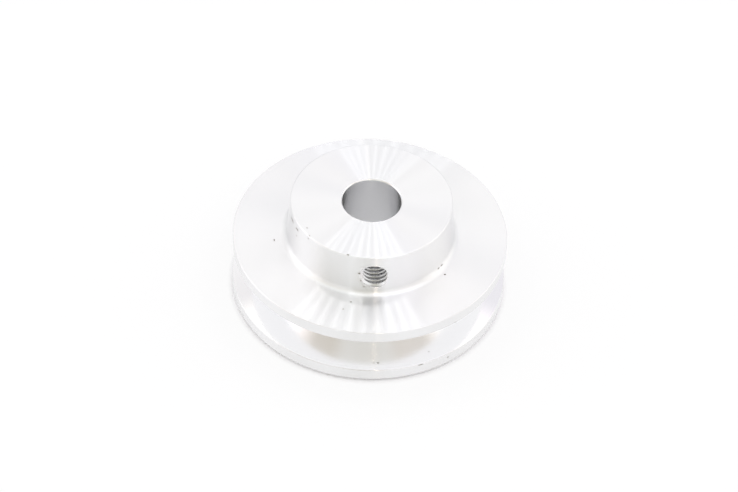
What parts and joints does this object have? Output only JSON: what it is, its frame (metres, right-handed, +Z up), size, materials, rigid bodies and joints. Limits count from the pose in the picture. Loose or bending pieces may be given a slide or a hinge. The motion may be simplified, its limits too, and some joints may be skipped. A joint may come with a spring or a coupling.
{
  "type": "v-belt motor pulley",
  "caption": "Turned aluminium V-belt pulley with a groove between flanges, a raised hub, a plain through bore and a tapped side hole for a set screw.",
  "frame": {"origin": "middle of the flat back face, on the axis of the bore", "axes": "+Z up the bore's axis from the back face to the hub's end; -Y out through the tapped side hole; +X by the right-hand rule"},
  "size_m": [0.056, 0.056, 0.0234],
  "materials": {
    "turned_aluminium": "bright, as turned on a lathe"
  },
  "bodies": {
    "root": {"pulley": "turned_aluminium"}
  },
  "joints": []
}
